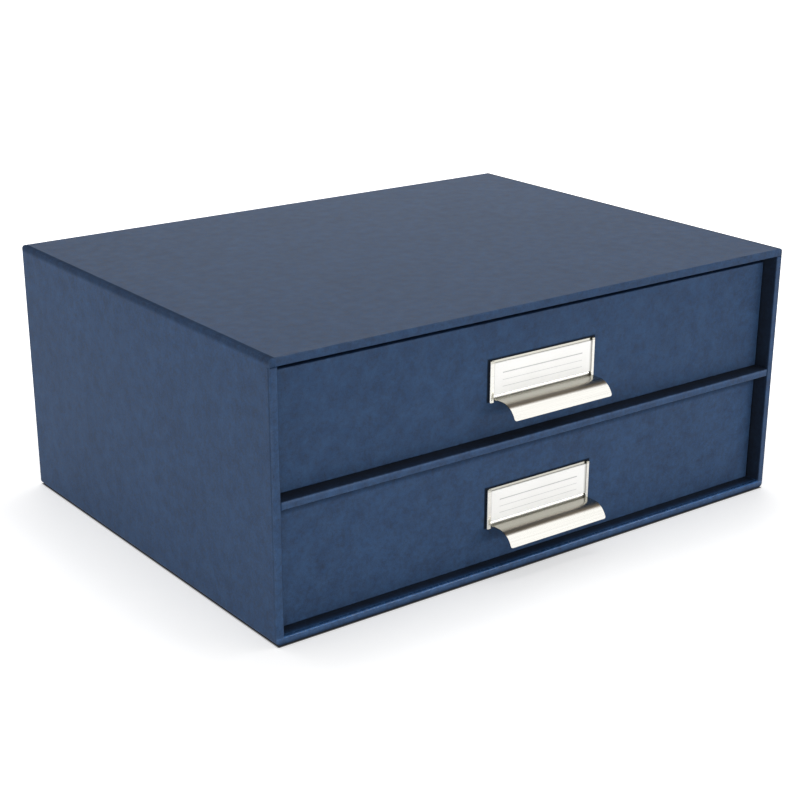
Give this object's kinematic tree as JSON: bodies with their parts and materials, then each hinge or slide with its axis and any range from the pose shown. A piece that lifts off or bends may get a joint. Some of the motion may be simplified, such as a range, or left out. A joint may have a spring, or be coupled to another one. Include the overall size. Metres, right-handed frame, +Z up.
{
  "type": "storage drawer unit",
  "caption": "Low desk drawer unit of paper-covered board: trays slide in open bays either side of a flush shelf, each with a folded steel label holder that rolls out into a finger pull.",
  "frame": {"origin": "middle of the underside, on the surface the unit stands on", "axes": "+X to the right along the front, +Y from the front to the back, +Z up"},
  "size_m": [0.33, 0.2597, 0.14],
  "materials": {
    "grey_board": "bare grey board, hidden under the paper",
    "cover_paper": "matt dyed covering paper with a very fine grain",
    "lining_paper": "matt dyed lining paper",
    "holder_steel": "nickel-plated steel, finely brushed along its width",
    "rivet_metal": "nickel-plated steel, satin",
    "card_stock": "smooth off-white card"
  },
  "bodies": {
    "case": {"case_folded_board": "grey_board", "case_top_board": "grey_board", "case_back_board": "grey_board", "case_shelf_board": "grey_board", "case_wrap_paper": "cover_paper", "case_base_sheet": "cover_paper", "case_top_paper": "cover_paper", "case_back_paper": "cover_paper", "case_shelf_paper": "cover_paper", "case_side_lining": "lining_paper", "case_back_lining": "lining_paper", "case_top_lining": "lining_paper"},
    "lower_drawer": {"lower_base_board": "grey_board", "lower_front_board": "grey_board", "lower_back_board": "grey_board", "lower_left_board": "grey_board", "lower_right_board": "grey_board", "lower_wrap_paper": "cover_paper", "lower_base_sheet": "cover_paper", "lower_wall_lining": "lining_paper", "lower_floor_lining": "lining_paper", "lower_label_holder": "holder_steel", "lower_holder_rivets": "rivet_metal", "lower_rivet_washers": "rivet_metal"},
    "lower_card": {"lower_label_card": "card_stock"},
    "upper_drawer": {"upper_base_board": "grey_board", "upper_front_board": "grey_board", "upper_back_board": "grey_board", "upper_left_board": "grey_board", "upper_right_board": "grey_board", "upper_wrap_paper": "cover_paper", "upper_base_sheet": "cover_paper", "upper_wall_lining": "lining_paper", "upper_floor_lining": "lining_paper", "upper_label_holder": "holder_steel", "upper_holder_rivets": "rivet_metal", "upper_rivet_washers": "rivet_metal"},
    "upper_card": {"upper_label_card": "card_stock"}
  },
  "joints": [
    {"name": "lower_drawer_slide", "type": "slide", "parent": "case", "child": "lower_drawer", "axis": [0, -1, 0], "range_m": [0, 0.2]},
    {"name": "lower_card_slide", "type": "slide", "parent": "lower_drawer", "child": "lower_card", "axis": [0, 0, 1], "range_m": [0, 0.016]},
    {"name": "upper_drawer_slide", "type": "slide", "parent": "case", "child": "upper_drawer", "axis": [0, -1, 0], "range_m": [0, 0.2]},
    {"name": "upper_card_slide", "type": "slide", "parent": "upper_drawer", "child": "upper_card", "axis": [0, 0, 1], "range_m": [0, 0.016]}
  ]
}
